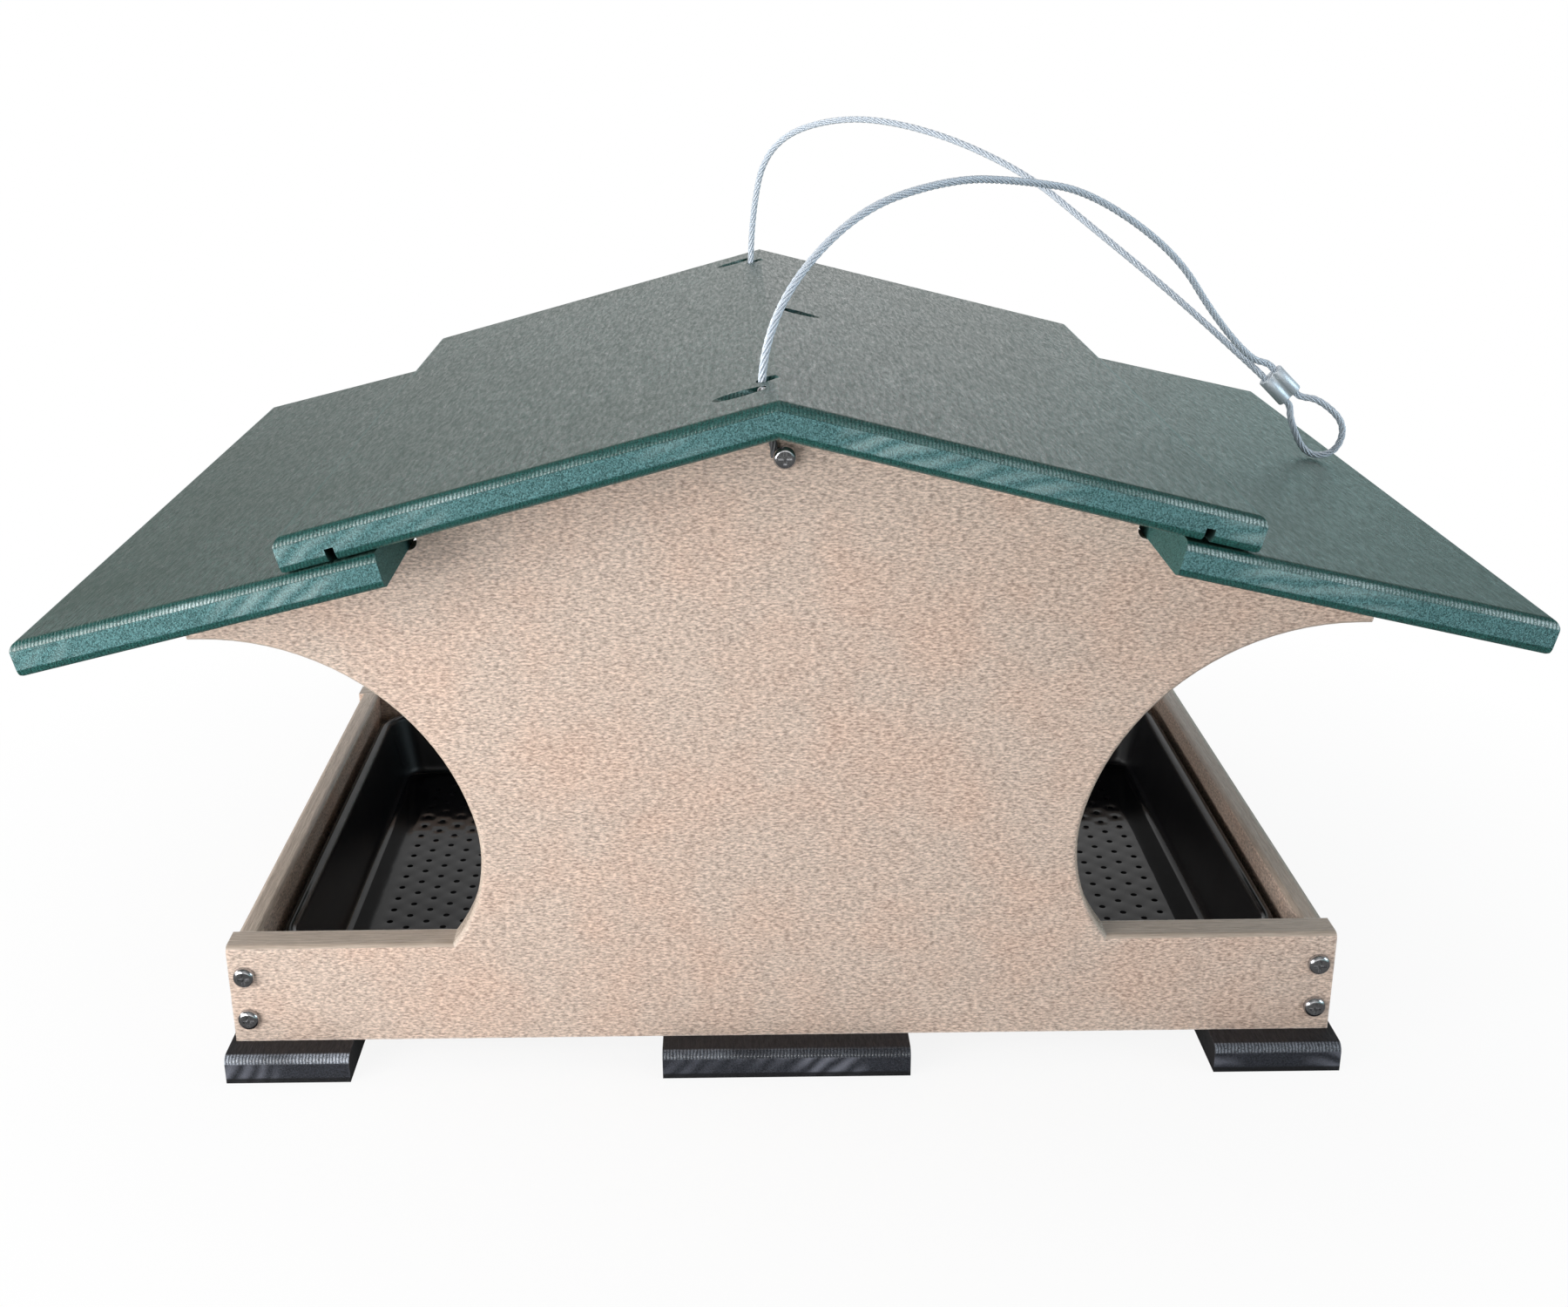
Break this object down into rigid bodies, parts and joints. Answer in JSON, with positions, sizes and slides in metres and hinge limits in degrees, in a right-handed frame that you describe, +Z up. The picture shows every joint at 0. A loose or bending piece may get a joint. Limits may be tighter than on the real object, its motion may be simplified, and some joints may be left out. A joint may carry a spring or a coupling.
{
  "type": "covered tray bird feeder",
  "caption": "Covered tray bird feeder: scooped end panels and rails hold a drained seed tray under a lapped gable roof that lifts along a looped hanging cable.",
  "frame": {"origin": "middle of the slats' undersides, on the ground", "axes": "+X to the right seen from the front panel, +Y to the back along the ridge, +Z up"},
  "size_m": [0.5238, 0.374, 0.3451],
  "materials": {
    "taupe_board": "speckled taupe plastic lumber with a fine brushed grain",
    "green_board": "dark green plastic lumber, pebbled face, streaked saw-cut ends",
    "black_board": "black plastic lumber, satin, streaked ends",
    "tray_black": "glossy black formed sheet",
    "screw_steel": "stainless steel, satin",
    "cable_steel": "bright twisted wire rope",
    "sleeve_metal": "pressed, satin"
  },
  "bodies": {
    "base": {"end_panel_front": "taupe_board", "end_panel_back": "taupe_board", "side_rail_left": "taupe_board", "side_rail_right": "taupe_board", "slat_left": "black_board", "slat_center": "black_board", "slat_right": "black_board", "rail_screws_front": "screw_steel", "rail_screws_back": "screw_steel", "anchor_screw_front": "screw_steel", "anchor_screw_back": "screw_steel", "slat_screws": "screw_steel", "cable_end_front": "cable_steel", "cable_end_back": "cable_steel"},
    "roof": {"roof_upper_left": "green_board", "roof_upper_right": "green_board", "roof_lower_left": "green_board", "roof_lower_right": "green_board", "toe_screws": "screw_steel", "lap_screws_left": "screw_steel", "lap_screws_right": "screw_steel", "cable_strand_front": "cable_steel", "cable_strand_back": "cable_steel", "cable_eye": "cable_steel", "cable_sleeve": "sleeve_metal"},
    "tray": {"seed_tray": "tray_black"}
  },
  "joints": [
    {"name": "roof_lift", "type": "slide", "parent": "base", "child": "roof", "axis": [0, 0, 1], "range_m": [0, 0.12]},
    {"name": "tray_lift", "type": "slide", "parent": "base", "child": "tray", "axis": [0, 0, 1], "range_m": [0, 0.06]}
  ]
}
